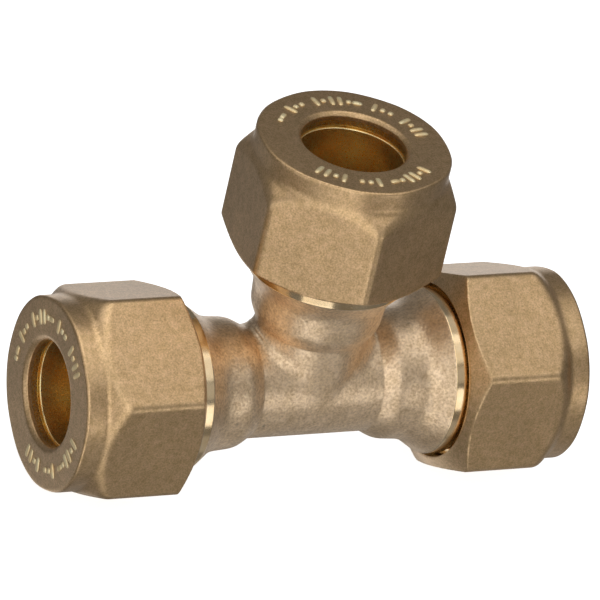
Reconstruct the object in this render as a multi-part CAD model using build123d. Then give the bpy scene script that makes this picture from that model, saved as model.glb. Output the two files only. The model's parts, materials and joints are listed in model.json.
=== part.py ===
"""Compression equal tee for 10 mm tube: a forged brass tee, three nuts and three olives. Sizes are in mm.

Frame: +X along the run, +Z up the branch. The origin is on the surface that the fitting rests on,
straight below the point where the tube axes cross.

Each arm is drawn once in its own frame: local Z is the tube axis, pointing out of the arm from the
crossing, and local X is the direction that the arm's clock angles are counted from.
"""
from build123d import *
import math
import os

# ---- tube, and the running fits around it ----
tube_diameter = 10.0
socket_clearance = 0.05        # radial, tube to tee socket
olive_clearance = 0.06         # radial, tube to olive
nut_hole_clearance = 0.10      # radial, tube to nut hole
tube_stop_step = 1.05          # how far the stop stands in from the socket wall

# ---- lengths along an arm ----
neighbour_gap = 3.071          # a nut's open end to the hexagon corners of the nut on the next arm
nut_length = 12.65
socket_depth = 8.6             # parallel stretch that holds the tube's end
mouth_depth = 3.0              # seat cone that opens out of the socket
ring_length = 1.40             # machined cylinder behind the thread
ring_cover = 0.3               # how much of the ring the nut's open end covers
flare_length = 2.08            # forged cone that runs up to the ring
barrel_length = 2.9            # forged barrel around the socket
shoulder_length = 1.5          # forged step from the neck up to the barrel

# ---- walls of the tee ----
neck_wall = 1.46               # around the waterway
barrel_wall = 1.25             # around the socket, at the shoulder
barrel_swell = 0.22            # how much the barrel grows towards the flare
mouth_wall = 0.98              # outside the seat cone, at the tee's mouth
ring_inset = 0.20              # the ring lies this far below the thread's crest
shoulder_blend = 0.9
flare_blend = 1.6

# ---- seats and olive ----
tee_seat_angle = 25.0          # half angle of the tee's seat cone
nut_seat_angle = 30.0          # half angle of the nut's seat cone
seat_clearance = 0.16          # axial, olive to each seat, nut finger-tight
olive_length = 6.4
olive_end_wall = 0.44
olive_crown_wall = 1.16
olive_crown_length = 1.6       # parallel band between the olive's two tapers

# ---- thread ----
thread_pitch = 1.337           # 19 threads per inch
thread_depth = 0.82
thread_clearance = 0.15        # radial, crest to root
flank_clearance = 0.12         # axial, on each flank
flank_angle = 27.5
thread_bite = 0.15             # how deep a thread ridge roots in its wall
thread_lead = 0.7              # plain stretch before the first turn
thread_end_gap = 0.55          # plain stretch between the last turn and the mouth's chamfer
mouth_chamfer = 0.75

# ---- nut ----
nut_wall = 1.10                # from the thread's root to the flats
corner_rounding = 0.9
collar_inset = 0.10            # the collar's radius is this much less than the flats'
collar_length = 2.15
collar_edge = 0.30
rear_lip = 0.10                # flat ring left at the nut's open end
rear_chamfer_angle = 30.0
nut_lead_in = 0.14             # cone at the open end of the thread
lip_depth = 0.38
lip_flare = 0.38
nut_land = 0.40                # parallel stretch of the tube hole
tightening_travel = 1.4        # room left for the nut to screw on and grip

# ---- raised marks on the nut's face: plain bars, dots and dashes ----
mark_height = 0.18
mark_width = 0.50
mark_length = 1.55
short_arc_marks = 8
long_arc_marks = 11
mark_spacing_angle = 14.0
long_arc_offset = 166.0        # from the middle of the short arc to the middle of the long one

# ---- arms: outward direction, angle of one hexagon corner, and middle of the short arc of marks ----
clock_zero = (0, -1, 0)
arms = {
    "left": ((-1, 0, 0), 24.0, -50.0),
    "right": ((1, 0, 0), -27.0, -41.0),
    "branch": ((0, 0, 1), -6.5, -2.0),
}


def cone_rise(length, angle):
    """Radius gained along a cone of this half angle."""
    return length * math.tan(math.radians(angle))


# ---- radii that follow from the tube outwards ----
tube_radius = tube_diameter / 2
socket_radius = tube_radius + socket_clearance
olive_bore = tube_radius + olive_clearance
nut_hole = tube_radius + nut_hole_clearance
waterway_radius = socket_radius - tube_stop_step
neck_radius = waterway_radius + neck_wall
barrel_radius = socket_radius + barrel_wall
mouth_radius = socket_radius + cone_rise(mouth_depth, tee_seat_angle)
tee_thread_root = mouth_radius + mouth_wall
tee_thread_crest = tee_thread_root + thread_depth
thread_pitch_radius = (tee_thread_root + tee_thread_crest) / 2
ring_radius = tee_thread_crest - ring_inset
nut_thread_crest = tee_thread_root + thread_clearance
nut_thread_root = tee_thread_crest + thread_clearance
across_flats = 2 * (nut_thread_root + nut_wall)
collar_radius = across_flats / 2 - collar_inset
corner_radius = (across_flats / 2 - corner_rounding) / math.cos(math.pi / 6) + corner_rounding
olive_end_radius = olive_bore + olive_end_wall
olive_crown_radius = olive_bore + olive_crown_wall

# ---- places along an arm, counted out from the crossing of the axes ----
nut_rear = corner_radius + neighbour_gap
arm_reach = nut_rear + nut_length
nut_seat_front = arm_reach - lip_depth - nut_land
olive_front = nut_seat_front - (olive_end_radius - nut_hole) / cone_rise(1, nut_seat_angle) - seat_clearance
olive_rear = olive_front - olive_length
socket_mouth = olive_rear - (olive_end_radius - socket_radius) / cone_rise(1, tee_seat_angle) - seat_clearance
socket_stop = socket_mouth - socket_depth
tee_mouth = socket_mouth + mouth_depth
ring_end = nut_rear + ring_cover
ring_start = ring_end - ring_length
barrel_end = ring_start - flare_length
barrel_start = barrel_end - barrel_length
neck_end = barrel_start - shoulder_length
tee_thread_start = ring_end + thread_lead
nut_thread_start = tee_thread_start + thread_pitch / 2
nut_thread_end = tee_mouth + tightening_travel
tee_thread_turns = (tee_mouth - mouth_chamfer - thread_end_gap - tee_thread_start) / thread_pitch
nut_thread_turns = (tee_mouth - nut_thread_start) / thread_pitch


def corner_drop(clock):
    """How far a nut reaches below its axis, when its nearest corner isn't quite straight down."""
    off_plumb = (clock - 90 + 30) % 60 - 30
    return (corner_radius - corner_rounding) * math.cos(math.radians(off_plumb)) + corner_rounding


# The fitting stands on the lowest hexagon corner of its run nuts.
axis_height = max(corner_drop(clock) for outward, clock, mark_clock in arms.values() if outward[2] == 0)


def arm_frame(outward, angle=0):
    """The arm's local frame, turned by a clock angle about the tube axis."""
    return Plane(origin=(0, 0, axis_height), x_dir=clock_zero, z_dir=outward) * Rot(0, 0, angle)


def turned(*outline):
    """A solid of revolution from (radius, place along the arm) points."""
    return revolve(Plane.XZ * make_face(Polyline(*outline, close=True)), Axis.Z)


def thread_ridge(start, turns, crest, wall, growth):
    """One helical ridge. growth is +1 where it narrows outwards, -1 where it narrows inwards."""
    def half_width(radius):
        taper = growth * (radius - thread_pitch_radius) * math.tan(math.radians(flank_angle))
        return thread_pitch / 4 - flank_clearance / 2 - taper

    root = wall - growth * thread_bite
    outline = Polygon(
        (root, start - half_width(root)), (root, start + half_width(root)),
        (crest, start + half_width(crest)), (crest, start - half_width(crest)), align=None)
    helix = Helix(pitch=thread_pitch, height=turns * thread_pitch, radius=wall, center=(0, 0, start))
    return sweep(Plane.XZ * outline, path=helix, is_frenet=True)


def forged_arm():
    """Outside of one arm as forged: neck, shoulder, barrel and flare."""
    skin = FilletPolyline(
        (neck_radius, 0), (neck_radius, neck_end), (barrel_radius, barrel_start),
        (barrel_radius + barrel_swell, barrel_end), (ring_radius, ring_start),
        radius=[shoulder_blend, shoulder_blend, flare_blend])
    ends = Polyline((ring_radius, ring_start), (0, ring_start), (0, 0), (neck_radius, 0))
    return revolve(Plane.XZ * make_face(skin + ends), Axis.Z)


def spigot():
    """Machined end of one arm: ring, threaded stretch and chamfered mouth."""
    ring_step = ring_radius - tee_thread_root
    core = turned(
        (0, ring_start), (ring_radius, ring_start), (ring_radius, ring_end),
        (tee_thread_root, ring_end + ring_step), (tee_thread_root, tee_mouth - mouth_chamfer),
        (tee_thread_root - mouth_chamfer, tee_mouth), (0, tee_mouth))
    return core + thread_ridge(tee_thread_start, tee_thread_turns, tee_thread_crest, tee_thread_root, 1)


def arm_bore():
    """Space inside one arm: waterway, tube socket and seat cone."""
    return turned(
        (0, 0), (waterway_radius, 0), (waterway_radius, socket_stop), (socket_radius, socket_stop),
        (socket_radius, socket_mouth), (mouth_radius, tee_mouth), (0, tee_mouth))


def olive():
    """A ring with a parallel band between two tapers."""
    taper = (olive_length - olive_crown_length) / 2
    return turned(
        (olive_bore, olive_rear), (olive_end_radius, olive_rear),
        (olive_crown_radius, olive_rear + taper), (olive_crown_radius, olive_front - taper),
        (olive_end_radius, olive_front), (olive_bore, olive_front))


def tee_body():
    """The whole tee. Each spigot is clocked with its nut, so that their threads are in mesh."""
    body = Part()
    for outward, clock, mark_clock in arms.values():
        body += arm_frame(outward) * forged_arm()
    for outward, clock, mark_clock in arms.values():
        body += arm_frame(outward, clock) * spigot()
    for outward, clock, mark_clock in arms.values():
        body -= arm_frame(outward) * arm_bore()
    return body


def nut_blank():
    """Outside of a nut: a hexagon with rounded corners, turned at both ends, and a round collar."""
    rear_radius = nut_thread_root + nut_lead_in + rear_lip
    far_radius = across_flats
    collar_start = arm_reach - collar_length
    hexagon = RegularPolygon(across_flats / 2, 6, major_radius=False)
    prism = extrude(Plane.XY.offset(nut_rear) * fillet(hexagon.vertices(), corner_rounding), nut_length)
    rear_cone = (far_radius, nut_rear + cone_rise(far_radius - rear_radius, rear_chamfer_angle))
    front_cone = (far_radius, collar_start + collar_radius - far_radius)
    envelope = turned(
        (0, nut_rear), (rear_radius, nut_rear), rear_cone, front_cone,
        (collar_radius, collar_start), (collar_radius, arm_reach), (0, arm_reach))
    blank = prism & envelope
    return fillet(blank.edges().group_by(Axis.Z)[-1], collar_edge)


def nut_bore():
    """Space inside a nut: flared lip, tube hole, seat cone, thread recess and lead-in."""
    recess_seat = nut_hole + cone_rise(nut_seat_front - nut_thread_end, nut_seat_angle)
    return turned(
        (0, nut_rear), (nut_thread_root + nut_lead_in, nut_rear), (nut_thread_root, nut_rear + nut_lead_in),
        (nut_thread_root, nut_thread_end), (recess_seat, nut_thread_end), (nut_hole, nut_seat_front),
        (nut_hole, arm_reach - lip_depth), (nut_hole + lip_flare, arm_reach), (0, arm_reach))


def face_marks(middle, count):
    """An arc of raised strokes on the nut's face: bars, dots and dashes in turn."""
    bar, dot, dash = (mark_length, mark_width), (mark_width, mark_width), (mark_width, mark_length / 2)
    strokes = [bar, dot, bar, dash]
    mark_radius = (nut_hole + lip_flare + collar_radius - collar_edge) / 2
    marks = []
    for index in range(count):
        across, around = strokes[index % len(strokes)]
        angle = middle + (index - (count - 1) / 2) * mark_spacing_angle
        stroke = Box(across, around, 2 * mark_height)
        marks.append(Rot(0, 0, angle) * Pos(mark_radius, 0, arm_reach) * stroke)
    return marks


def nut(mark_clock):
    """One nut. Its first hexagon corner is at angle 0 and its short arc of marks at mark_clock."""
    marks = face_marks(mark_clock, short_arc_marks) + face_marks(mark_clock + long_arc_offset, long_arc_marks)
    thread = thread_ridge(nut_thread_start, nut_thread_turns, nut_thread_crest, nut_thread_root, -1)
    return (nut_blank() + marks) - nut_bore() + thread


def main():
    os.makedirs("parts", exist_ok=True)
    pieces = {"tee_body": tee_body()}
    for name, (outward, clock, mark_clock) in arms.items():
        pieces[name + "_nut"] = arm_frame(outward, clock) * nut(mark_clock - clock)
        pieces[name + "_olive"] = arm_frame(outward) * olive()
    for name, piece in pieces.items():
        export_step(piece, f"parts/{name}.step")


main()
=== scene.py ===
"""Looks for a forged brass compression tee: three hexagon nuts, three olives and the tee between them.

Lengths are in metres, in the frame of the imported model: +X along the run, +Z up the branch.
Each arm has its own frame: along is the distance out from the crossing of the tube axes, radius is the
distance from the tube axis, and angles are counted about the axis from -Y, anticlockwise as seen from outside.
"""
import json
import math
from typing import NamedTuple

import bmesh
import bpy
import numpy as np
from mathutils import Matrix, Vector


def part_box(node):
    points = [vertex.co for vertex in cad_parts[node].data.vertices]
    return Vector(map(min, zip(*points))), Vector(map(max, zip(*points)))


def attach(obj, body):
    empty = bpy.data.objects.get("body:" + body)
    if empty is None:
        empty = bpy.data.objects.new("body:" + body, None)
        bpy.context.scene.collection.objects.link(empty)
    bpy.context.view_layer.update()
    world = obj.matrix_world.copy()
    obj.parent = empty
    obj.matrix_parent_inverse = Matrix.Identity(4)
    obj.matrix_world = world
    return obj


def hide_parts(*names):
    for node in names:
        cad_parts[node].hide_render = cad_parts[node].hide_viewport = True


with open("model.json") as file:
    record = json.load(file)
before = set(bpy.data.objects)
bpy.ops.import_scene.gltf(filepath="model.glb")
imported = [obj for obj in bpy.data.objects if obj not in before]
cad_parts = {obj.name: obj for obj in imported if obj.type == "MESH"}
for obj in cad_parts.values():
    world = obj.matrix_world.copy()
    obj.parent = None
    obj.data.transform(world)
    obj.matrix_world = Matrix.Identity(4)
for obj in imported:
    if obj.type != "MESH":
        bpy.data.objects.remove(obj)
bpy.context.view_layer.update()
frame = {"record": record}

MM = 0.001
TURN = 2 * math.pi

# ---------------------------------------------------------------- what the frame gives
_, tee_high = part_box("tee_body")
olive_low, olive_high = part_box("left_olive")
nut_low, nut_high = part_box("left_nut")
mounts = {mount["name"]: mount for mount in frame["record"]["mounts"]}
couplings = frame["record"]["behaviour"]["couplings"]
axis_height = (olive_low.z + olive_high.z) / 2
crossing = Vector((0, 0, axis_height))
socket_radius = mounts["left_socket"]["dims"]["r_mm"] * MM
socket_length = mounts["left_socket"]["dims"]["length_mm"] * MM
socket_middle = -mounts["left_socket"]["pos_m"][0]
thread_pitch = couplings[0]["ratio"] * TURN
tee_mouth = tee_high.x
nut_rear = -nut_high.x
nut_top = -nut_low.x
olive_rear, olive_front = -olive_high.x, -olive_low.x
thread_crest = tee_high.y


# ---------------------------------------------------------------- the arms
class Arm(NamedTuple):
    axis: tuple             # outward
    corner_angle: float     # degrees, where one corner of the nut's hexagon stands
    marks_angle: float      # degrees, middle of the short arc of marks


ARMS = {
    "left": Arm((-1, 0, 0), 24.0, -50.0),
    "right": Arm((1, 0, 0), -27.0, -41.0),
    "branch": Arm((0, 0, 1), -6.5, -2.0),
}
ANGLE_ZERO = np.array((0, -1, 0))

# ---------------------------------------------------------------- sizes that pieces share
mark_height = 0.18 * MM
nut_face = nut_top - mark_height

flat_radius = 9.5 * MM             # axis to a flat
corner_rounding = 0.9 * MM
collar_radius = 9.4 * MM
collar_length = 2.15 * MM
nut_hole = 5.10 * MM
nut_thread_root = 8.40 * MM
nut_thread_crest = 7.58 * MM
tee_thread_root = 7.43 * MM
tee_thread_start = nut_rear + 1.0 * MM
nut_thread_start = tee_thread_start + thread_pitch / 2      # each ridge stands midway between the other thread's
neck_radius = 5.46 * MM
neck_start = 6.05 * MM             # nearer the crossing than this, the arms run into each other
barrel_radius = 6.30 * MM
ring_radius = 8.05 * MM
waterway_radius = 4.0 * MM
mouth_radius = 6.45 * MM
olive_bore = 5.06 * MM
olive_end_radius = 5.40 * MM
olive_crown_radius = 6.22 * MM
olive_crown_length = 1.6 * MM

SHARP_ANGLE = math.radians(32)
THREAD_STEP = thread_pitch / 15    # between rows of a thread
COAT_ROUGHNESS = 0.35


# ================================================================ outlines
def rounded_path(corners, step, closed=False, arc_step=math.radians(14)):
    """Points along straight runs and arcs. Each corner is (radius, along, rounding), in metres.

    Points are at most a step apart. An arc takes less than half of each run beside it.
    """
    longest_reach, slack = 0.49, 0.01
    count = len(corners)
    points = []
    for index, (radius, along, rounding) in enumerate(corners):
        corner = np.array((radius, along))
        inner = closed or 0 < index < count - 1
        if not inner or rounding == 0:
            points.append(corner)
            continue
        before = np.array(corners[index - 1][:2]) - corner
        after = np.array(corners[(index + 1) % count][:2]) - corner
        before_length, after_length = np.linalg.norm(before), np.linalg.norm(after)
        before, after = before / before_length, after / after_length
        turn = math.pi - math.acos(np.clip(before @ after, -1, 1))
        reach = min(rounding * math.tan(turn / 2), longest_reach * before_length, longest_reach * after_length)
        arc_radius = reach / math.tan(turn / 2)
        middle = (before + after) / np.linalg.norm(before + after)
        centre = corner + middle * arc_radius / math.cos(turn / 2)
        start = corner + before * reach - centre
        end = corner + after * reach - centre
        pieces = max(3, math.ceil(turn / arc_step))
        for share in np.linspace(0, 1, pieces + 1):
            spoke = start * math.sin((1 - share) * turn) + end * math.sin(share * turn)
            points.append(centre + spoke / math.sin(turn))
    if closed:
        points.append(points[0])
    path = [points[0]]
    for start, end in zip(points, points[1:]):
        pieces = max(1, math.ceil(np.linalg.norm(end - start) / step - slack))
        path += [start + (end - start) * share for share in np.linspace(0, 1, pieces + 1)[1:]]
    if closed:
        path.pop()
    return np.array(path)


def smooth_step(low, high, value):
    """0 at the low value and below, 1 at the high one and above, and a smooth rise between."""
    share = np.clip((value - low) / (high - low), 0, 1)
    return share * share * (3 - 2 * share)


def smooth_minimum(first, second, softness):
    """The lower of two heights with the crease between them rounded, and how near the crease is (0 to 1)."""
    near = np.clip(1 - np.abs(first - second) / softness, 0, 1)
    return np.minimum(first, second) - near * near * softness / 4, near


def thread_form(along, angle, start, turns):
    """Height of a screw ridge, from 0 at its foot to 1 at its crest, at these places on an arm."""
    crest_half, foot_half = 0.13 * MM, 0.53 * MM
    fade = 0.12                                             # turns over which the ridge runs out at each end
    position = (along - start) / thread_pitch - angle / TURN
    turn_index = np.round(position)
    offset = np.abs(position - turn_index) * thread_pitch
    flank = np.clip((foot_half - offset) / (foot_half - crest_half), 0, 1)
    height = 0.5 * flank + 0.5 * smooth_step(0, 1, flank)
    run = turn_index + angle / TURN
    return height * smooth_step(-fade, fade, run) * smooth_step(-fade, fade, turns - run)


# ================================================================ meshes
def arm_points(arm, radius, angle, along):
    """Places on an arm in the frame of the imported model. The three values broadcast against each other."""
    axis = np.array(ARMS[arm].axis, float)
    up = np.cross(axis, ANGLE_ZERO)
    radius, angle, along = np.broadcast_arrays(radius, angle, along)
    spoke = np.cos(angle)[..., None] * ANGLE_ZERO + np.sin(angle)[..., None] * up
    return np.array(crossing) + along[..., None] * axis + radius[..., None] * spoke


def lathed(path, columns):
    """Radius and along of a path's points, repeated for each column."""
    return np.repeat(path[:, :1], columns, axis=1), np.repeat(path[:, 1:], columns, axis=1)


def grid_faces(rows, columns, closed_rows, first=0):
    """Quads of a grid whose columns close round the axis."""
    row_count = rows if closed_rows else rows - 1
    row, column = np.meshgrid(np.arange(row_count), np.arange(columns), indexing="ij")
    next_row, next_column = (row + 1) % rows, (column + 1) % columns
    quads = np.stack([
        row * columns + column, row * columns + next_column,
        next_row * columns + next_column, next_row * columns + column], axis=-1)
    return quads.reshape(-1, 4) + first


def make_piece(name, points, faces, materials, face_slots=None, edge_wear_and_highlight=None):
    """A smooth-shaded object. The edge argument, one value per point from 0 to 1, is what the forged skin shows as
    brighter metal: partly rubbed wear and partly a painted highlight along convex edges and corners.
    """
    mesh = bpy.data.meshes.new(name)
    mesh.from_pydata(points.reshape(-1, 3).tolist(), [], faces)
    mesh.validate()
    for material in materials:
        mesh.materials.append(material)
    if face_slots is not None:
        mesh.polygons.foreach_set("material_index", face_slots)
    if edge_wear_and_highlight is not None:
        mesh.attributes.new("edge_wear_and_highlight", "FLOAT", "POINT").data.foreach_set("value", edge_wear_and_highlight.reshape(-1))
    mesh.polygons.foreach_set("use_smooth", [True] * len(mesh.polygons))
    piece = bpy.data.objects.new(name, mesh)
    bpy.context.scene.collection.objects.link(piece)
    return piece


def crease_and_face_outward(piece):
    """Marks the sharp edges of a closed mesh, and turns its faces outward if it is inside out."""
    mesh = piece.data
    mesh.set_sharp_from_angle(angle=SHARP_ANGLE)
    corners = np.zeros(len(mesh.vertices) * 3)
    mesh.vertices.foreach_get("co", corners)
    corners = corners.reshape(-1, 3)
    mesh.calc_loop_triangles()
    triangles = np.zeros(len(mesh.loop_triangles) * 3, int)
    mesh.loop_triangles.foreach_get("vertices", triangles)
    a, b, c = (corners[triangles.reshape(-1, 3)[:, k]] for k in range(3))
    if np.einsum("ij,ij->i", a, np.cross(b, c)).sum() < 0:
        mesh.flip_normals()


def slots_by_row(bands, columns):
    """Material slot of each face of a grid. Each band is (row of faces where it ends, slot)."""
    ends, slots = zip(*bands)
    return np.repeat(np.repeat(slots, np.diff((0,) + ends)), columns)


# ---------------------------------------------------------------- nuts
def hexagon_radius(angle):
    """Axis to the side of a hexagon with rounded corners. One corner is at angle 0."""
    off_corner = np.abs((angle + math.pi / 6) % (math.pi / 3) - math.pi / 6)
    arc_centre = (flat_radius - corner_rounding) / math.cos(math.pi / 6)
    flat = flat_radius / np.cos(math.pi / 6 - off_corner)
    inside = np.maximum(corner_rounding**2 - (arc_centre * np.sin(off_corner))**2, 0)
    arc = arc_centre * np.cos(off_corner) + np.sqrt(inside)
    tangent = math.atan2(corner_rounding / 2, arc_centre + corner_rounding * math.cos(math.pi / 6))
    return np.where(off_corner < tangent, arc, flat)


def nut_outlines():
    """The nut's outline as four paths: outside with the face and rim, inside with the seat, thread, rear mouth.

    The outside runs past the hexagon's corners, and build_nut cuts it back to the hexagon.
    """
    beyond_corners = 11.6 * MM
    lip_outer, lip_inner = 8.64 * MM, 8.44 * MM
    rear_chamfer = seat_slope = math.radians(30)
    collar_rounding, face_rounding = 0.9 * MM, 0.32 * MM
    rim, rim_rounding = 0.34 * MM, 0.42 * MM                # bevel round the hole
    wall_rounding, step_rounding = 0.15 * MM, 0.3 * MM
    seat_rounding, root_rounding, lip_rounding = 0.05 * MM, 0.1 * MM, 0.03 * MM
    lip_depth = 0.14 * MM
    wall, cone_step = 0.57 * MM, 0.80 * MM                  # parallel wall behind the rim, then a 45 degree step
    collar_start = nut_face - collar_length
    rear_rise = (beyond_corners - lip_outer) * math.tan(rear_chamfer)
    front_fall = beyond_corners - collar_radius             # the front chamfer is at 45 degrees
    skin_end = nut_face - 0.5 * MM                          # as far as the forged skin goes into the hole
    seat_front = nut_face - 0.78 * MM
    recess_end = tee_mouth + 1.4 * MM
    recess_seat = nut_hole + (seat_front - recess_end) * math.tan(seat_slope)
    wall_end = seat_front - wall
    thread_front = recess_end - 0.5 * MM
    thread_rear = nut_rear + 0.3 * MM
    outside = rounded_path([
        (lip_outer, nut_rear, 0), (beyond_corners, nut_rear + rear_rise, 0),
        (beyond_corners, collar_start - front_fall, 0), (collar_radius, collar_start, collar_rounding),
        (collar_radius, nut_face, face_rounding), (nut_hole + rim, nut_face, rim_rounding),
        (nut_hole, nut_face - rim, rim_rounding), (nut_hole, skin_end, 0)], step=0.22 * MM)
    inside = rounded_path([
        (nut_hole, skin_end, 0), (nut_hole, wall_end, wall_rounding),
        (nut_hole + cone_step, wall_end - cone_step, step_rounding),
        (recess_seat, recess_end, seat_rounding), (nut_thread_root, recess_end, root_rounding),
        (nut_thread_root, thread_front, 0)], step=0.35 * MM)
    thread = rounded_path([
        (nut_thread_root, thread_front, 0), (nut_thread_root, thread_rear, 0)], step=THREAD_STEP)
    mouth = rounded_path([
        (nut_thread_root, thread_rear, 0), (nut_thread_root, nut_rear + lip_depth, lip_rounding),
        (lip_inner, nut_rear, lip_rounding), (lip_outer, nut_rear, 0)], step=0.2 * MM)
    return outside, inside, thread, mouth


def build_nut(arm, materials):
    """Materials are the forged skin and the bored inside."""
    columns, corner_crowding = 264, 0.72
    rear_zone_length = 3 * MM
    rear_softness, front_softness = 0.16 * MM, 0.75 * MM    # rounding where the chamfers meet the hexagon
    # The edge values below lighten the skin along the creases and the hexagon's corners: partly rubbed wear, partly
    # a painted highlight.
    rear_wear_and_highlight, front_wear_and_highlight, corner_wear_and_highlight, corner_wear_and_highlight_depth = 0.55, 0.25, 0.30, 0.12 * MM
    thread_turns = 3.61
    even = np.arange(columns) * TURN / columns
    angle = even - corner_crowding / 6 * np.sin(6 * even)   # columns stand closer together at the corners
    outside, inside, thread, mouth = nut_outlines()
    path = np.concatenate([outside, inside[1:], thread[1:], mouth[1:-1]])
    radius, along = lathed(path, columns)
    outer = len(outside)
    side = hexagon_radius(angle)
    in_rear_zone = (path[:outer, 1] < nut_rear + rear_zone_length)[:, None]
    softness = np.where(in_rear_zone, rear_softness, front_softness)
    radius[:outer], near_crease = smooth_minimum(radius[:outer], side[None, :], softness)

    first_thread = outer + len(inside) - 1
    last_thread = first_thread + len(thread) - 1
    ridge = thread_form(along, angle[None, :], nut_thread_start, thread_turns)
    radius[first_thread:last_thread] -= ridge[first_thread:last_thread] * (nut_thread_root - nut_thread_crest)

    edge_wear_and_highlight = np.zeros_like(radius)
    corner_wear_and_highlight_band = corner_wear_and_highlight * np.exp(-((side - side.max()) / corner_wear_and_highlight_depth)**2)
    on_hexagon = (path[:outer, 0] >= side.max())[:, None]
    edge_wear_and_highlight[:outer] = np.maximum(near_crease * np.where(in_rear_zone, rear_wear_and_highlight, front_wear_and_highlight),
                                   np.where(on_hexagon, corner_wear_and_highlight_band[None, :], 0))
    points = arm_points(arm, radius, angle[None, :] + math.radians(ARMS[arm].corner_angle), along)
    slots = slots_by_row([(outer, 0), (last_thread, 1), (len(path), 0)], columns)
    faces = grid_faces(len(path), columns, True).tolist()
    nut = make_piece(f"{arm}_nut_forging", points, faces, materials, slots, edge_wear_and_highlight)
    crease_and_face_outward(nut)
    return nut


def build_marks(arm, material):
    """Raised strokes on the nut's face: bars, dots and dashes in a short and a long arc, on one mesh."""
    bar, dot, dash, space = (1.6 * MM, 0.56 * MM), (0.60 * MM, 0.60 * MM), (0.56 * MM, 1.1 * MM), None
    strokes = [bar, bar, dot, bar, space, dot, dot, bar, space, dash, dot]
    short_count, long_count = 16, 22
    spacing, between_arcs = math.radians(6.6), math.radians(166)
    band_inner, band_outer = nut_hole + 0.38 * MM, collar_radius - 0.3 * MM
    foot_depth, top_gap = 0.10 * MM, 0.02 * MM              # foot sunk in the face, top kept inside the CAD's box
    round_sides, square_plan = 0.9, 0.6                     # powers of the strokes' domed shape
    rows, columns = 9, 24
    band_middle = (band_inner + band_outer) / 2
    foot = nut_face - foot_depth
    lift = np.linspace(0, math.pi / 2, rows)[:, None]
    turn = np.arange(columns)[None, :] * TURN / columns
    rise = foot + (mark_height + foot_depth - top_gap) * np.sin(lift)

    def powered(value, power):
        return np.sign(value) * np.abs(value)**power

    points, faces = [], []
    short_middle = math.radians(ARMS[arm].marks_angle)
    for middle, count in ((short_middle, short_count), (short_middle + between_arcs, long_count)):
        for index in range(count):
            stroke = strokes[index % len(strokes)]
            if stroke is space:
                continue
            across, around = stroke
            angle = middle + (index - (count - 1) / 2) * spacing
            sideways = around / 2 * powered(np.cos(lift), round_sides) * powered(np.sin(turn), square_plan)
            outward = across / 2 * powered(np.cos(lift), square_plan) * powered(np.cos(turn), square_plan)
            spoke = np.hypot(band_middle + outward, sideways)
            bearing = angle + np.arctan2(sideways, band_middle + outward)
            first = len(points)
            hub = first + rows * columns
            points += arm_points(arm, spoke, bearing, rise).reshape(-1, 3).tolist()
            points.append(arm_points(arm, band_middle, angle, foot).tolist())
            faces += grid_faces(rows, columns, False, first).tolist()
            faces += [(first + column, first + (column + 1) % columns, hub) for column in range(columns)]
    return make_piece(f"{arm}_nut_marks", np.array(points), faces, [material])


# ---------------------------------------------------------------- tee
def tee_outlines():
    """An arm's outline as four paths: forged neck and barrel, turned ring, thread, and everything bored.

    Distances that aren't measured from a neighbouring feature are from the crossing.
    """
    ring_start, ring_end = nut_rear - 1.10 * MM, nut_rear + 0.30 * MM
    forged_end = ring_radius - 0.02 * MM                    # a hair under the turned ring
    ring_lead = 0.06 * MM
    barrel_start, barrel_full = 6.32 * MM, 7.82 * MM
    flare_rise, flare_length = 0.22 * MM, 2.08 * MM
    barrel_rounding, flare_rounding = 2.4 * MM, 3.2 * MM
    lead_rounding, ring_rounding, cone_rounding = 0.05 * MM, 0.12 * MM, 0.1 * MM
    chamfer_rounding, end_rounding, mouth_rounding = 0.05 * MM, 0.08 * MM, 0.06 * MM
    socket_rounding, stop_rounding = 0.2 * MM, 0.12 * MM
    step_end = ring_end + ring_radius - tee_thread_root     # the ring's front is a 45 degree cone
    thread_rear = step_end + 0.15 * MM
    chamfer = 0.75 * MM
    chamfer_start = tee_mouth - chamfer
    thread_front = chamfer_start - 0.1 * MM
    socket_stop = socket_middle - socket_length / 2
    socket_mouth = socket_middle + socket_length / 2
    forged = rounded_path([
        (neck_radius, neck_start, 0), (neck_radius, barrel_start, barrel_rounding),
        (barrel_radius, barrel_full, barrel_rounding),
        (barrel_radius + flare_rise, ring_start - flare_length, flare_rounding),
        (forged_end, ring_start, 0)], step=0.3 * MM)
    ring = rounded_path([
        (forged_end, ring_start, 0), (ring_radius, ring_start + ring_lead, lead_rounding),
        (ring_radius, ring_end, ring_rounding), (tee_thread_root, step_end, cone_rounding),
        (tee_thread_root, thread_rear, 0)], step=0.25 * MM)
    thread = rounded_path([
        (tee_thread_root, thread_rear, 0), (tee_thread_root, thread_front, 0)], step=THREAD_STEP)
    bored = rounded_path([
        (tee_thread_root, thread_front, 0), (tee_thread_root, chamfer_start, chamfer_rounding),
        (tee_thread_root - chamfer, tee_mouth, end_rounding), (mouth_radius, tee_mouth, mouth_rounding),
        (socket_radius, socket_mouth, socket_rounding), (socket_radius, socket_stop, stop_rounding),
        (waterway_radius, socket_stop, stop_rounding), (waterway_radius, neck_start, 0)], step=0.45 * MM)
    return forged, ring, thread, bored


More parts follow.
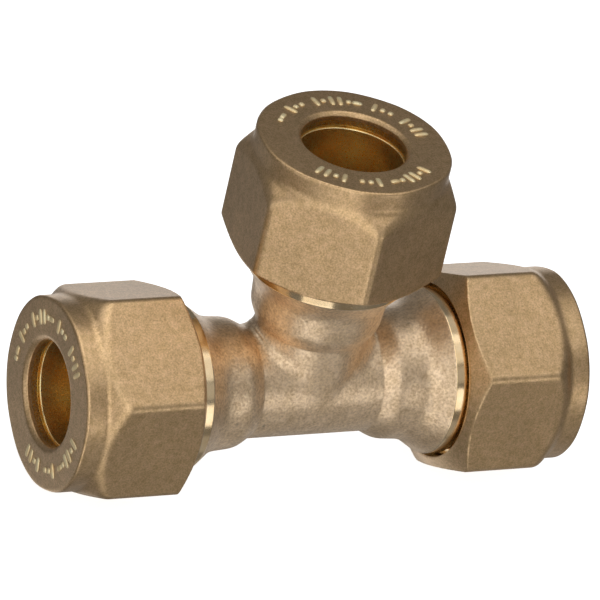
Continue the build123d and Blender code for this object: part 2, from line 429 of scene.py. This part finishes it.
def build_tee(materials):
    """One closed mesh: three lathed arms that share their edges where the necks and the waterways cross.

    Materials are the forged skin, turned metal and bored metal.
    """
    columns = 156
    crossing_rows = 15                                      # between the crossing and the start of the outline
    turned_rows = 6                                         # of the bored path, round the end chamfer
    thread_turns = 3.135
    angle = np.arange(columns) * TURN / columns
    forged, ring, thread, bored = tee_outlines()
    path = np.concatenate([forged, ring[1:], thread[1:], bored[1:]])
    radius, along = lathed(path, columns)
    share = np.linspace(0, 1, crossing_rows + 1)[:-1, None]
    rows = len(path) + 2 * crossing_rows
    first_thread = crossing_rows + len(forged) + len(ring) - 1
    last_thread = first_thread + len(thread) - 2
    forged_rows = crossing_rows + len(forged) - 1
    slots = slots_by_row([
        (forged_rows, 0), (forged_rows + len(ring) + len(thread) + turned_rows, 1), (rows - 1, 2)], columns)
    toward_neighbour = {"left": np.sin(angle), "right": -np.sin(angle), "branch": np.abs(np.sin(angle))}
    points, faces = [], []
    for index, arm in enumerate(ARMS):
        meeting = np.maximum(toward_neighbour[arm], 0)[None, :]     # how far out the arms meet, in radii
        neck_along = neck_radius * meeting * (1 - share) + neck_start * share
        waterway_along = (waterway_radius * meeting * (1 - share) + neck_start * share)[::-1]
        arm_radius = np.concatenate([
            np.full_like(neck_along, neck_radius), radius, np.full_like(waterway_along, waterway_radius)])
        arm_along = np.concatenate([neck_along, along, waterway_along])
        thread_angle = angle[None, :] - math.radians(ARMS[arm].corner_angle)
        ridge = thread_form(arm_along, thread_angle, tee_thread_start, thread_turns)
        arm_radius[first_thread:last_thread] += ridge[first_thread:last_thread] * (thread_crest - tee_thread_root)
        blended = blend_crotch(arm, arm_points(arm, arm_radius, angle[None, :], arm_along), meeting)
        points.append(blended.reshape(-1, 3))
        faces.append(grid_faces(rows, columns, False, index * rows * columns))
    tee = make_piece("tee_forging", np.concatenate(points), np.concatenate(faces).tolist(), materials,
                     np.tile(slots, len(ARMS)))
    weld(tee)
    crease_and_face_outward(tee)
    return tee


def blend_crotch(arm, points, meeting):
    """Fills the inner corner between the branch and the run with a fillet, but not inside the waterway."""
    blend_radius, extra_radius = 1.9 * MM, 0.5 * MM         # the fillet is wider where the arms meet at a low angle
    waterway_margin, least_lean, least = 0.2 * MM, 0.5, 1e-9
    x, y, z = np.moveaxis(points - np.array(crossing), -1, 0)
    from_run = np.stack([np.zeros_like(x), y, z], axis=-1)
    from_branch = np.stack([x, y, np.zeros_like(z)], axis=-1)
    own, other = (from_branch, from_run) if arm == "branch" else (from_run, from_branch)
    own_length = np.linalg.norm(own, axis=-1, keepdims=True)
    other_length = np.linalg.norm(other, axis=-1, keepdims=True)
    half_angle = np.arccos(np.clip(1 - meeting**2, -1, 1)) / 2
    fillet_radius = blend_radius + extra_radius * (1 - meeting**2)
    reach = np.maximum(4 * fillet_radius * (1 - np.cos(half_angle)), least)
    near = np.clip(1 - np.abs(other_length[..., 0] - neck_radius) / reach, 0, 1)
    near = np.where(own_length[..., 0] > waterway_radius + waterway_margin, near, 0)
    own, other = own / own_length, other / np.maximum(other_length, least)
    away = own * (1 - near[..., None] / 2) + other * near[..., None] / 2
    away /= np.linalg.norm(away, axis=-1, keepdims=True)
    lean = np.clip(np.sum(away * own, axis=-1), least_lean, 1)
    return points + away * (reach / 4 * near**2 / lean)[..., None]


def weld(piece):
    """Joins the shared edges of neighbouring arms, and evens out the fillet along them."""
    weld_gap = 0.002 * MM
    half_width, lowest, least_radius = 1.1 * MM, 0.2 * MM, 5.2 * MM
    passes = 6
    worker = bmesh.new()
    worker.from_mesh(piece.data)
    rim = [vertex for vertex in worker.verts if any(edge.is_boundary for edge in vertex.link_edges)]
    bmesh.ops.remove_doubles(worker, verts=rim, dist=weld_gap)
    fillet = []
    for vertex in worker.verts:
        x, y, z = vertex.co - crossing
        on_crease = z > lowest and abs(abs(x) - z) < half_width
        if on_crease and min(math.hypot(x, y), math.hypot(y, z)) > least_radius:
            fillet.append(vertex)
    for _ in range(passes):
        bmesh.ops.smooth_vert(worker, verts=fillet, factor=0.5, use_axis_x=True, use_axis_y=True, use_axis_z=True)
    worker.to_mesh(piece.data)
    worker.free()


# ---------------------------------------------------------------- olives
def build_olive(arm, material):
    """A ring with a crown in the middle and a taper to each end."""
    columns = 144
    end_rounding, crown_rounding = 0.12 * MM, 0.9 * MM
    taper = (olive_front - olive_rear - olive_crown_length) / 2
    path = rounded_path([
        (olive_bore, olive_rear, end_rounding), (olive_end_radius, olive_rear, end_rounding),
        (olive_crown_radius, olive_rear + taper, crown_rounding),
        (olive_crown_radius, olive_front - taper, crown_rounding),
        (olive_end_radius, olive_front, end_rounding), (olive_bore, olive_front, end_rounding)],
        step=0.3 * MM, closed=True)
    radius, along = lathed(path, columns)
    angle = np.arange(columns)[None, :] * TURN / columns
    faces = grid_faces(len(path), columns, True).tolist()
    olive = make_piece(f"{arm}_olive_ring", arm_points(arm, radius, angle, along), faces, [material])
    crease_and_face_outward(olive)
    return olive


# ================================================================ materials
class Nodes:
    """A short way to write a material's node tree."""

    def __init__(self, name):
        self.material = bpy.data.materials.new(name)
        self.material.use_nodes = True
        self.tree = self.material.node_tree
        self.shader = self.tree.nodes["Principled BSDF"]
        self.place = self.tree.nodes.new("ShaderNodeTexCoord").outputs["Object"]

    def add(self, kind, inputs=(), **settings):
        node = self.tree.nodes.new("ShaderNode" + kind)
        for key, value in settings.items():
            setattr(node, key, value)
        for key, value in dict(inputs).items():
            self.put(node.inputs[key], value)
        return node

    def put(self, socket, value):
        if isinstance(value, bpy.types.NodeSocket):
            self.tree.links.new(value, socket)
        else:
            socket.default_value = value

    def noise(self, size, detail, roughness, distortion=0.0):
        """Noise whose features are about this size."""
        return self.add("TexNoise", {
            "Vector": self.place, "Scale": 1 / size, "Detail": detail, "Roughness": roughness,
            "Distortion": distortion}).outputs["Fac"]

    def ramp(self, value, source, dark, light):
        """Dark at the low end of the source range and below, light at its high end, and a blend between."""
        node = self.add("ValToRGB", {"Fac": value})
        for element, position, colour in zip(node.color_ramp.elements, source, (dark, light)):
            element.position = position
            element.color = (*colour, 1)
        return node.outputs["Color"]

    def mix(self, share, first, second, blend="MIX"):
        node = self.add("Mix", {0: share, 6: first, 7: second}, data_type="RGBA", blend_type=blend)
        return node.outputs[2]

    def maths(self, operation, *values):
        return self.add("Math", enumerate(values), operation=operation).outputs[0]

    def spread(self, value, source, target):
        """Maps the source range, (from, to), onto the target range."""
        node = self.add("MapRange", {
            "Value": value, "From Min": source[0], "From Max": source[1], "To Min": target[0], "To Max": target[1]})
        return node.outputs["Result"]

    def finish(self, colour, roughness, heights, metallic=1.0, coat=0.0):
        """Heights are (value, depth in metres), laid over each other as bumps."""
        self.put(self.shader.inputs["Base Color"], colour)
        self.put(self.shader.inputs["Roughness"], roughness)
        self.shader.inputs["Metallic"].default_value = metallic
        self.shader.inputs["Coat Weight"].default_value = coat
        self.shader.inputs["Coat Roughness"].default_value = COAT_ROUGHNESS
        normal = None
        for value, depth in heights:
            bump = self.add("Bump", {"Height": value, "Distance": depth, "Strength": 1.0})
            if normal is not None:
                self.put(bump.inputs["Normal"], normal)
            normal = bump.outputs["Normal"]
        if normal is not None:
            self.put(self.shader.inputs["Normal"], normal)
        return self.material


def forged_brass(name, dark, light, wear_and_highlight_colour, grain, grain_depth, rough, pit_share, metallic=1.0):
    """Sandy forged skin: fine grain, faint mottling, a few pits, and brighter metal along edges, partly rubbed wear
    and partly a painted highlight.
    """
    cloud_size, pit_spacing = 6 * MM, 1.9 * MM
    fine_share, coarse_share, cloud_tint, warmth = 0.68, 0.32, (0.93, 1.05), (0.97, 1.03)
    rub_and_highlight_cover, rub_polish, rough_drift, coat = (0.3, 0.8), 0.08, 0.05, 0.5
    pit_slope, pit_depth, pit_cover, pit_darkness = (0.04, 0.15), 0.03 * MM, 0.6, 0.3
    noise_range = (0.3, 0.7)
    nodes = Nodes(name)
    fine = nodes.noise(grain, 2.0, 0.65)
    coarse = nodes.noise(4 * grain, 2.0, 0.5)
    cloud = nodes.noise(cloud_size, 2.0, 0.5, 0.3)
    fine_part = nodes.maths("MULTIPLY", fine, fine_share)
    mottle = nodes.maths("ADD", fine_part, nodes.maths("MULTIPLY", coarse, coarse_share))
    skin = nodes.ramp(mottle, (0.34, 0.66), dark, light)
    tint = nodes.spread(cloud, (0.35, 0.65), cloud_tint)
    blue_tint = nodes.maths("MULTIPLY", tint, nodes.spread(coarse, noise_range, warmth))
    tint_colour = nodes.add("CombineColor", {"Red": tint, "Green": tint, "Blue": blue_tint}).outputs[0]
    skin = nodes.mix(1.0, skin, tint_colour, "MULTIPLY")
    # Edges lightened towards the wear colour, with a little less roughness: partly rubbed wear, partly a painted
    # highlight.
    edge = nodes.add("Attribute", attribute_name="edge_wear_and_highlight").outputs["Fac"]
    rub_and_highlight = nodes.maths("MULTIPLY", edge, nodes.spread(coarse, (0.3, 0.6), rub_and_highlight_cover))
    skin = nodes.mix(rub_and_highlight, skin, (*wear_and_highlight_colour, 1))
    cells = nodes.add("TexVoronoi", {"Vector": nodes.place, "Scale": 1 / pit_spacing}, feature="F1")
    hollow = nodes.spread(cells.outputs["Distance"], pit_slope, (1.0, 0.0))
    cell_lot = nodes.add("SeparateColor", {0: cells.outputs["Color"]}).outputs[0]
    pit = nodes.maths("MULTIPLY", hollow, nodes.maths("LESS_THAN", cell_lot, pit_share))
    pit_colour = tuple(pit_darkness * part for part in dark) + (1,)
    skin = nodes.mix(nodes.maths("MULTIPLY", pit, pit_cover), skin, pit_colour)
    grain_rough = nodes.spread(fine, noise_range, (rough + rough_drift, rough - rough_drift))
    roughness = nodes.maths("SUBTRACT", grain_rough, nodes.maths("MULTIPLY", rub_and_highlight, rub_polish))
    level = nodes.maths("SUBTRACT", 1.0, pit)
    heights = [(level, pit_depth), (coarse, 1.5 * grain_depth), (fine, grain_depth)]
    return nodes.finish(skin, roughness, heights, metallic, coat)


def machined_brass(name, dark, light, rough, groove, groove_depth):
    """Turned metal: fine tool marks and a slight colour change."""
    drift_size = 1.8 * MM
    nodes = Nodes(name)
    drift = nodes.noise(drift_size, 3.0, 0.6)
    fine = nodes.noise(groove, 3.0, 0.7)
    skin = nodes.ramp(drift, (0.35, 0.65), dark, light)
    roughness = nodes.spread(fine, (0.3, 0.7), (rough - 0.05, rough + 0.06))
    return nodes.finish(skin, roughness, [(fine, groove_depth)])


# ================================================================ light, floor and camera
LIGHTS = {  # azimuth and elevation in degrees, width and height in metres, brightness
    "front": (-30, 20, 0.30, 0.80, 1.1),
    "front_low": (-30, -40, 0.30, 0.20, 1.05),
    "right_low": (26, -9, 0.22, 0.22, 1.05),
    "right_mid": (28, 22, 0.20, 0.16, 0.25),
    "right_high": (42, 50, 0.26, 0.24, 0.65),
    "far_right_high": (88, 55, 0.30, 0.26, 0.3),
    "left": (-75, 8, 0.28, 0.40, 0.66),
    "top": (0, 88, 0.30, 0.30, 1.5),
    "high_left": (-120, 55, 0.30, 0.26, 0.75),
    "low_mid": (35, -49, 0.25, 0.20, 0.15),
    "low_right": (105, -50, 0.30, 0.26, 0.2),
    "rear_right": (150, -15, 0.30, 0.26, 0.9),
    "rear_left": (-165, -50, 0.30, 0.26, 0.7),
}


def add_world():
    """White backdrop to the camera. What the metal reflects is a dim room."""
    white, room_strength, backdrop_strength = (1, 1, 1, 1), 0.15, 1.0
    world = bpy.data.worlds.new("studio")
    world.use_nodes = True
    bpy.context.scene.world = world
    tree = world.node_tree
    room = tree.nodes["Background"]
    room.inputs["Color"].default_value = white
    room.inputs["Strength"].default_value = room_strength
    backdrop = tree.nodes.new("ShaderNodeBackground")
    backdrop.inputs["Color"].default_value = white
    backdrop.inputs["Strength"].default_value = backdrop_strength
    rays = tree.nodes.new("ShaderNodeLightPath")
    mix = tree.nodes.new("ShaderNodeMixShader")
    tree.links.new(rays.outputs["Is Camera Ray"], mix.inputs[0])
    tree.links.new(room.outputs[0], mix.inputs[1])
    tree.links.new(backdrop.outputs[0], mix.inputs[2])
    tree.links.new(mix.outputs[0], tree.nodes["World Output"].inputs["Surface"])


def direction(azimuth, elevation):
    """Unit vector. Azimuth is from -Y towards +X, in degrees."""
    azimuth, elevation = math.radians(azimuth), math.radians(elevation)
    level = math.cos(elevation)
    return Vector((math.sin(azimuth) * level, -math.cos(azimuth) * level, math.sin(elevation)))


def add_soft_box(name, azimuth, elevation, width, height, radiance):
    """A rectangular light that faces the fitting. Radiance is what a mirror would show of it."""
    distance = 0.45
    light = bpy.data.lights.new(name, "AREA")
    light.shape = "RECTANGLE"
    light.size, light.size_y = width, height
    light.energy = radiance * math.pi * width * height
    lamp = bpy.data.objects.new(name, light)
    toward = direction(azimuth, elevation)
    lamp.location = crossing + toward * distance
    lamp.rotation_euler = toward.to_track_quat("Z", "Y").to_euler()
    bpy.context.scene.collection.objects.link(lamp)


def add_floor():
    """A white floor that the metal doesn't reflect."""
    half, grey, roughness, glow = 3.0, 0.93, 0.6, 0.85
    mesh = bpy.data.meshes.new("floor")
    mesh.from_pydata([(-half, -half, 0), (half, -half, 0), (half, half, 0), (-half, half, 0)], [], [(0, 1, 2, 3)])
    floor = bpy.data.objects.new("floor", mesh)
    bpy.context.scene.collection.objects.link(floor)
    nodes = Nodes("pale_floor")
    nodes.finish((grey, grey, grey, 1), roughness, [], metallic=0.0)
    nodes.shader.inputs["Emission Color"].default_value = (1, 1, 1, 1)
    nodes.shader.inputs["Emission Strength"].default_value = glow
    mesh.materials.append(nodes.material)
    floor.visible_glossy = False
    floor.visible_shadow = False


def add_camera():
    """A long lens at the viewing angle, tilted a little about its own axis."""
    azimuth, elevation, roll = -30.56, 30.30, math.radians(13.16)
    focal_length, sensor_width, distance = 500.0, 36.0, 796 * MM
    nearest, farthest = 0.05, 20.0
    aim_right, aim_up = 0.065 * MM, 7.41 * MM               # from the crossing, as the camera sees it
    back = direction(azimuth, elevation)
    level = direction(azimuth + 90, 0)
    right = level * math.cos(roll) + back.cross(level) * math.sin(roll)
    up = back.cross(right)
    lens = bpy.data.cameras.new("camera")
    lens.sensor_width, lens.lens = sensor_width, focal_length
    lens.clip_start, lens.clip_end = nearest, farthest
    camera = bpy.data.objects.new("camera", lens)
    target = crossing + right * aim_right + up * aim_up
    camera_axes = Matrix((right, up, back)).transposed().to_4x4()
    camera.matrix_world = Matrix.Translation(target + back * distance) @ camera_axes
    bpy.context.scene.collection.objects.link(camera)
    bpy.context.scene.camera = camera


# ================================================================ assembly
def main():
    # The lighter wear colours of the skins stand partly for rubbed metal and partly for a painted highlight on
    # edges.
    nut_skin = forged_brass(
        "nut_skin", dark=(0.51, 0.33, 0.155), light=(0.83, 0.56, 0.295), wear_and_highlight_colour=(0.88, 0.62, 0.33),
        grain=0.17 * MM, grain_depth=0.014 * MM, rough=0.42, pit_share=0.03)
    tee_skin = forged_brass(
        "tee_skin", dark=(0.60, 0.415, 0.25), light=(1.0, 0.76, 0.49), wear_and_highlight_colour=(0.95, 0.70, 0.42),
        grain=0.25 * MM, grain_depth=0.030 * MM, rough=0.41, pit_share=0.16, metallic=0.93)
    turned_brass = machined_brass(
        "turned_brass", dark=(0.94, 0.68, 0.38), light=(1.0, 0.78, 0.49),
        rough=0.15, groove=0.12 * MM, groove_depth=0.0015 * MM)
    bore_brass = machined_brass(
        "bore_brass", dark=(1.0, 0.72, 0.36), light=(1.0, 0.84, 0.50),
        rough=0.26, groove=0.15 * MM, groove_depth=0.003 * MM)
    olive_brass = machined_brass(
        "olive_skin", dark=(1.0, 0.70, 0.33), light=(1.0, 0.82, 0.44),
        rough=0.28, groove=0.12 * MM, groove_depth=0.002 * MM)
    mark_brass = machined_brass(
        "mark_skin", dark=(1.0, 0.78, 0.44), light=(1.0, 0.88, 0.58),
        rough=0.58, groove=0.20 * MM, groove_depth=0.006 * MM)
    tee = build_tee([tee_skin, turned_brass, bore_brass])
    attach(tee, "tee_body")
    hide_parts("tee_body")
    for arm in ARMS:
        nut = build_nut(arm, [nut_skin, bore_brass])
        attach(nut, f"{arm}_nut")
        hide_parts(f"{arm}_nut")
        marks = build_marks(arm, mark_brass)
        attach(marks, f"{arm}_nut")
        olive = build_olive(arm, olive_brass)
        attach(olive, f"{arm}_olive")
        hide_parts(f"{arm}_olive")
    add_world()
    add_floor()
    for name, settings in LIGHTS.items():
        add_soft_box(name, *settings)
    add_camera()
    bpy.context.scene.view_settings.view_transform = "Standard"


main()
